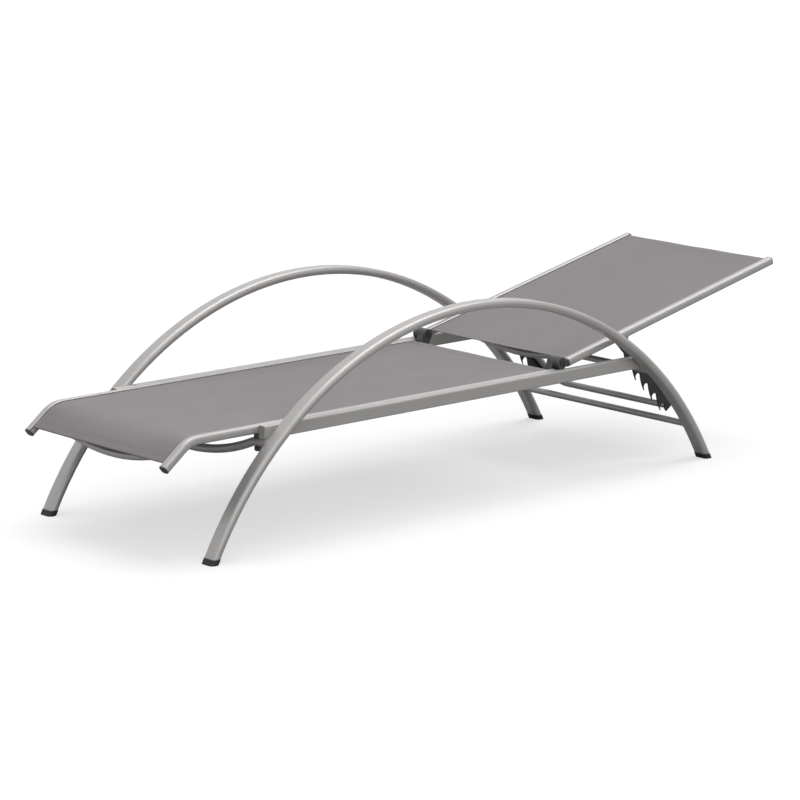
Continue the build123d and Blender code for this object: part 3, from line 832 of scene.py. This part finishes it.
def hemmed_cloth(surface, length, half_width, sizes, rows, columns):
    """Fills a bmesh with a cloth whose two free ends are turned under and sewn down."""
    fold = sizes.cloth_thickness * FOLD_RADIUS_SHARE
    turn = math.pi * fold
    hem = sizes.hem_width
    whole = length + 2 * (hem + turn)

    def make(bm):
        layer = bm.loops.layers.uv.new("cloth map")
        bmesh.ops.create_grid(bm, x_segments=rows, y_segments=columns, size=0.5)
        flat = {vertex: (vertex.co.x + 0.5, vertex.co.y * 2) for vertex in bm.verts}
        for vertex, (share, across) in flat.items():
            travelled = cloth_travel(share, whole, hem, turn)
            at_start = travelled < hem + turn
            beyond = hem + turn - travelled if at_start else travelled - (whole - hem - turn)
            along = travelled - hem - turn
            if beyond <= 0:
                point, up = surface(along, across)
                vertex.co = point
            else:
                end = 0.0 if at_start else length
                inward = 1 if at_start else -1
                angle = min(beyond / fold, math.pi)
                under = max(beyond - turn, 0.0)
                point, up = surface(end + inward * under, across)
                edge_point = surface(end, across)[0]
                ahead = surface(end + inward * hem / 2, across)[0]
                outward = (edge_point - ahead).normalized()
                drop = up * fold * (1 - math.cos(angle))
                vertex.co = point + outward * fold * math.sin(angle) - drop
        for face in bm.faces:
            for loop in face.loops:
                share, across = flat[loop.vert]
                loop[layer].uv = (across * half_width, cloth_travel(share, whole, hem, turn))
        bmesh.ops.recalc_face_normals(bm, faces=bm.faces)
        upper = max(bm.faces, key=lambda face: face.calc_center_median().z)
        if upper.normal.z < 0:
            bmesh.ops.reverse_faces(bm, faces=bm.faces)

    return make, whole


def cloth_travel(share, whole, hem, turn):
    """Distance along the flat cloth for a share of the rows, which lie closer at the hems."""
    ends = HEM_ROWS_SHARE
    zone = 2 * hem + 2 * turn
    if share < ends:
        return share / ends * zone
    if share > 1 - ends:
        return whole - (1 - share) / ends * zone
    return zone + (share - ends) / (1 - 2 * ends) * (whole - 2 * zone)


def stitch_rows(surface, length, half_width, sizes, edge_gap):
    """Fills a bmesh with the stitches of both hems, two rows each, on the cloth's upper side."""

    def make(bm):
        count = int((2 * half_width - 2 * edge_gap) / sizes.stitch_length)
        lift = sizes.cloth_thickness / 2
        for end, inward in ((0.0, 1), (length, -1)):
            for row in (0, 1):
                inset = sizes.hem_width - STITCH_INSET - row * sizes.stitch_row_gap
                along = end + inward * inset
                for number in range(count):
                    across = ((number + 0.5) / count * 2 - 1) * (1 - edge_gap / half_width)
                    point, up = surface(along, across)
                    beside = surface(along, across + SIDE_STEP)[0]
                    side = (beside - point).normalized()
                    turn = Matrix((side, up.cross(side), up)).transposed().to_4x4()
                    half_length = sizes.stitch_length * STITCH_SHARE
                    size = Matrix.Diagonal((half_length, THREAD_HALF_WIDTH, THREAD_HALF_HEIGHT, 1))
                    place = Matrix.Translation(point + up * lift) @ turn @ size
                    bmesh.ops.create_icosphere(bm, subdivisions=1, radius=1.0, matrix=place)

    return make


def build_sling(name, line, body, first_inset, sag, sizes, rows):
    """One sling with hems and stitches, in place of the plain one between its two rails."""
    place, length = line
    last_inset = sizes.end_inset
    rests_on = [name + "_rail_far", name + "_rail_near"]
    half_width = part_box(rests_on[0])[0].y + sizes.groove_reach
    cloth_length = length - first_inset - last_inset

    def inner_place(along):
        return place(along + first_inset)

    surface = cloth_surface(inner_place, cloth_length, sag, sizes, half_width)
    make, whole = hemmed_cloth(surface, cloth_length, half_width, sizes, rows, CLOTH_COLUMNS)
    cloth = piece_from(name + "_cloth", make, body, "sling cloth")
    solid = cloth.modifiers.new("thickness", "SOLIDIFY")
    solid.thickness = sizes.cloth_thickness
    solid.offset = 0.0
    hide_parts(name + "_sling")
    sew = stitch_rows(surface, cloth_length, half_width, sizes, sizes.groove_reach * 2)
    stitches = piece_from(name + "_stitches", sew, body, "sewing thread")


class LOUNGER_OT_seat_sling(bpy.types.Operator):
    """Stretch the seat's cloth between its rails and over their bend"""

    bl_idname = "lounger.seat_sling"
    bl_label = "Seat sling"

    def execute(self, context):
        sizes = context.scene.lounger_slings
        line = seat_line(context.scene.lounger_rails)
        build_sling("seat", line, "frame", sizes.foot_inset, sizes.seat_sag, sizes, SEAT_ROWS)
        return {"FINISHED"}


class LOUNGER_OT_back_sling(bpy.types.Operator):
    """Stretch the backrest's cloth between its rails"""

    bl_idname = "lounger.back_sling"
    bl_label = "Backrest sling"

    def execute(self, context):
        sizes = context.scene.lounger_slings
        line = back_line(context.scene.lounger_rails)
        build_sling("back", line, "backrest", sizes.end_inset, sizes.back_sag, sizes, BACK_ROWS)
        return {"FINISHED"}


# Welds

# A tube's rim: its points lie this near to its radius, and one is taken every few degrees
RIM_SHARE = 0.97
RIM_DEGREES = 4
LEAST_LENGTH = 1e-9

# How the drops of a bead differ: two waves in their size, and a turn from drop to drop
SIZE_WAVES = ((0.12, 2.3), (0.08, 5.1))
DROP_TURN = 1.7

# Where an arch's thickness is read: near its middle, and this far below its crown
CROWN_REACH = 0.01
TUBE_HEIGHT_LEAST = 0.012
HEIGHT_DIGITS = 4

# Places up a rail that a seam goes through, and how far a bead lies off the face that it joins
SEAM_SHARES = (0.04, 0.27, 0.5, 0.73, 0.96)
FACE_GAP = 0.0002


def end_path(node, side, inner_face):
    """The outline of a cross tube's end on one side, as points sorted round the tube."""
    ends = [vertex.co for vertex in nodes[node].data.vertices if side * vertex.co.y > inner_face]
    middle = sum(ends, Vector()) / len(ends)
    middle.x = (min(point.x for point in ends) + max(point.x for point in ends)) / 2
    middle.z = (min(point.z for point in ends) + max(point.z for point in ends)) / 2
    radius = max(point.x for point in ends) - middle.x
    rim = {}
    for point in ends:
        offset = Vector((point.x - middle.x, point.z - middle.z))
        if offset.length > radius * RIM_SHARE:
            turn = round(math.degrees(math.atan2(offset.y, offset.x)) / RIM_DEGREES)
            if turn not in rim or side * point.y > side * rim[turn].y:
                rim[turn] = point.copy()
    return [rim[turn] for turn in sorted(rim)]


def evenly(points, step, closed):
    """Points spread evenly along a line of points."""
    corners = points + points[:1] if closed else points
    lengths = [(after - before).length for before, after in zip(corners, corners[1:])]
    count = max(2, round(sum(lengths) / step))
    spread = []
    for number in range(count):
        rest = sum(lengths) * number / count
        index = 0
        while index < len(lengths) - 1 and rest > lengths[index]:
            rest -= lengths[index]
            index += 1
        share = rest / max(lengths[index], LEAST_LENGTH)
        spread.append(corners[index].lerp(corners[index + 1], share))
    return spread


def bead(bm, points, radius):
    """A weld bead as a row of small overlapping drops, each a little different."""
    for number, point in enumerate(points):
        size = radius * (1 + sum(share * math.sin(number * wave) for share, wave in SIZE_WAVES))
        place = Matrix.Translation(point) @ Matrix.Rotation(number * DROP_TURN, 4, "Y")
        bmesh.ops.create_icosphere(bm, subdivisions=1, radius=size, matrix=place)


def tube_welds(tubes, inner_face, rails):
    """Fills a bmesh with the beads round both ends of some cross tubes."""

    def make(bm):
        for node in tubes:
            for side in (-1, 1):
                path = end_path(node, side, inner_face)
                bead(bm, evenly(path, rails.weld_step, True), rails.weld_radius)

    return make


def arch_circle():
    """The arches' centre and the radius of their middle line, from three points of their box."""
    low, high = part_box("arch_far")
    vertices = [vertex.co for vertex in nodes["arch_far"].data.vertices]
    middle_x = (low.x + high.x) / 2
    foot = min(vertices, key=lambda point: (round(point.z, HEIGHT_DIGITS), point.x))
    run = middle_x - foot.x
    rise = high.z - foot.z
    outer = (run * run + rise * rise) / (2 * rise)
    near_crown = [high.z - point.z for point in vertices if abs(point.x - middle_x) < CROWN_REACH]
    tube_height = min(depth for depth in near_crown if depth > TUBE_HEIGHT_LEAST)
    return Vector((middle_x, 0, high.z - outer)), outer - tube_height / 2


def crossing_seams(rails):
    """Fills a bmesh with the seams between the main rails and the arches' inner sides."""

    def make(bm):
        centre, radius = arch_circle()
        low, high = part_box("main_rail_far")
        for side in (-1, 1):
            for end in (-1, 1):
                for spread in (-rails.seam_spread, rails.seam_spread):
                    reach = radius + spread
                    line = []
                    for share in SEAM_SHARES:
                        z = low.z + (high.z - low.z) * share
                        x = centre.x + end * math.sqrt(reach**2 - (z - centre.z) ** 2)
                        if low.x < x < high.x:
                            line.append(Vector((x, side * high.y, z)))
                    if len(line) > 1:
                        bead(bm, evenly(line, rails.weld_step, False), rails.weld_radius)

    return make


class LOUNGER_OT_welds(bpy.types.Operator):
    """Lay the weld beads round the cross tubes' ends and beside the arches"""

    bl_idname = "lounger.welds"
    bl_label = "Welds"

    def execute(self, context):
        rails = context.scene.lounger_rails
        coat = "silver coat"
        rail_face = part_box("seat_rail_far")[0].y - FACE_GAP
        arch_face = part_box("arch_far")[0].y - FACE_GAP
        seat_tubes = tube_welds(["nose_cross_tube"], rail_face, rails)
        leg_tubes = tube_welds(["leg_cross_tube", "catch_bar", "rear_cross_tube"], arch_face, rails)
        back_tubes = tube_welds(["back_low_cross_tube", "back_top_cross_tube"], rail_face, rails)
        piece_from("seat_tube_welds", seat_tubes, "frame", coat)
        piece_from("leg_tube_welds", leg_tubes, "frame", coat)
        piece_from("back_tube_welds", back_tubes, "backrest", coat)
        piece_from("arch_seams", crossing_seams(rails), "frame", coat)
        return {"FINISHED"}


# Studio

# The lamps shine from these directions, and stand this many times as far away
OVERHEAD_FROM = (0.32, 0.10, 1.0)
SIDE_FROM = (-0.35, -1.1, 0.9)
LAMP_DISTANCE = 3

# The floor's finish, and the share of its colour that the light gives back where nothing shades it
FLOOR_SPECULAR = 0.2
FLOOR_GRAIN = {
    "Grain Scale": 40.0,
    "Patch Scale": 0.4,
    "Roughness": 0.9,
    "Roughness Range": 0.05,
    "Shade Range": 0.01,
}
FLOOR_LIGHT = 0.94

WHITE = (1.0, 1.0, 1.0, 1.0)
CAMERA_REACH = 100.0


def soft_lamp(name, toward, spread, strength):
    """A very wide sun lamp, which lights the whole floor evenly."""
    data = bpy.data.lights.new(name, "SUN")
    data.angle = spread
    data.energy = strength
    lamp = bpy.data.objects.new(name, data)
    lamp.location = Vector(toward) * LAMP_DISTANCE
    lamp.rotation_euler = Vector(toward).to_track_quat("Z", "Y").to_euler()
    bpy.context.scene.collection.objects.link(lamp)


def floor_finish(colour):
    """A pale floor that keeps the lounger's soft shadow and looks white where light reaches it."""
    tree, shader, coordinates = new_material("studio floor", specular=FLOOR_SPECULAR)
    add_grain(tree, shader, coordinates, (*colour, 1), FLOOR_GRAIN)
    rays = tree.nodes.new("ShaderNodeLightPath")
    glow = maths(tree, "MULTIPLY", rays.outputs["Is Camera Ray"], 1 - colour[0] * FLOOR_LIGHT)
    shader.inputs["Emission Color"].default_value = WHITE
    tree.links.new(glow, shader.inputs["Emission Strength"])


def studio_world():
    """White where the camera or a reflection sees it, and softer where it lights the lounger."""
    world = bpy.data.worlds.new("studio")
    bpy.context.scene.world = world
    world.use_nodes = True
    tree = world.node_tree
    tree.nodes.clear()
    output = tree.nodes.new("ShaderNodeOutputWorld")
    rays = tree.nodes.new("ShaderNodeLightPath")
    mix = tree.nodes.new("ShaderNodeMixShader")
    fill = tree.nodes.new("ShaderNodeBackground")
    seen = tree.nodes.new("ShaderNodeBackground")
    fill.inputs["Color"].default_value = WHITE
    fill.inputs["Strength"].default_value = bpy.context.scene.lounger_studio.fill
    seen.inputs["Color"].default_value = WHITE
    seen.inputs["Strength"].default_value = 1.0
    shows = maths(tree, "MAXIMUM", rays.outputs["Is Camera Ray"], rays.outputs["Is Glossy Ray"])
    tree.links.new(shows, mix.inputs[0])
    tree.links.new(fill.outputs[0], mix.inputs[1])
    tree.links.new(seen.outputs[0], mix.inputs[2])
    tree.links.new(mix.outputs[0], output.inputs["Surface"])


class LOUNGER_OT_studio(bpy.types.Operator):
    """Set up the floor, the soft lamps and the camera"""

    bl_idname = "lounger.studio"
    bl_label = "Studio"

    def execute(self, context):
        studio = context.scene.lounger_studio
        mesh = bpy.data.meshes.new("studio_floor")
        bm = bmesh.new()
        bmesh.ops.create_grid(bm, x_segments=1, y_segments=1, size=studio.floor_size / 2)
        bm.to_mesh(mesh)
        bm.free()
        floor = bpy.data.objects.new("studio_floor", mesh)
        floor_finish(context.scene.lounger_colours.floor)
        mesh.materials.append(bpy.data.materials["studio floor"])
        context.scene.collection.objects.link(floor)
        soft_lamp("overhead_lamp", OVERHEAD_FROM, studio.lamp_spread, studio.overhead)
        soft_lamp("side_lamp", SIDE_FROM, studio.lamp_spread, studio.side)
        studio_world()
        data = bpy.data.cameras.new("camera")
        data.angle = studio.camera_view
        data.clip_end = CAMERA_REACH
        camera = bpy.data.objects.new("camera", data)
        context.scene.collection.objects.link(camera)
        heading = studio.camera_heading
        dip = studio.camera_dip
        level = Vector((math.sin(heading), math.cos(heading), 0))
        ahead = level * math.cos(dip) - Vector((0, 0, math.sin(dip)))
        camera.location = studio.camera_place
        camera.rotation_euler = ahead.to_track_quat("-Z", "Y").to_euler()
        context.scene.camera = camera
        context.scene.view_settings.view_transform = "Standard"
        return {"FINISHED"}


class LOUNGER_PT_builder(bpy.types.Panel):
    """Lists the lounger's pieces and the sizes and colours that they use"""

    bl_label = "Sun lounger"
    bl_idname = "LOUNGER_PT_builder"
    bl_space_type = "VIEW_3D"
    bl_region_type = "UI"
    bl_category = "Lounger"

    def draw(self, context):
        for step in BUILD_STEPS:
            self.layout.operator(step.bl_idname)
        for settings in (
            context.scene.lounger_slings,
            context.scene.lounger_rails,
            context.scene.lounger_colours,
            context.scene.lounger_studio,
        ):
            box = self.layout.box()
            for key in settings.bl_rna.properties.keys():
                if key not in ("rna_type", "name"):
                    box.prop(settings, key)


SETTINGS = {
    "lounger_slings": SlingSizes,
    "lounger_rails": RailSizes,
    "lounger_colours": LoungerColours,
    "lounger_studio": StudioSizes,
}
BUILD_STEPS = (
    LOUNGER_OT_finishes,
    LOUNGER_OT_seat_sling,
    LOUNGER_OT_back_sling,
    LOUNGER_OT_welds,
    LOUNGER_OT_studio,
)


def register():
    for group in SETTINGS.values():
        bpy.utils.register_class(group)
    for name, group in SETTINGS.items():
        setattr(bpy.types.Scene, name, PointerProperty(type=group))
    for step in BUILD_STEPS:
        bpy.utils.register_class(step)
    bpy.utils.register_class(LOUNGER_PT_builder)


def unregister():
    bpy.utils.unregister_class(LOUNGER_PT_builder)
    for step in reversed(BUILD_STEPS):
        bpy.utils.unregister_class(step)
    for name in SETTINGS:
        delattr(bpy.types.Scene, name)
    for group in reversed(list(SETTINGS.values())):
        bpy.utils.unregister_class(group)


def main():
    """Register the add-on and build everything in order."""
    register()
    bpy.ops.lounger.finishes()
    bpy.ops.lounger.seat_sling()
    bpy.ops.lounger.back_sling()
    bpy.ops.lounger.welds()
    bpy.ops.lounger.studio()


if __name__ == "__main__":
    main()
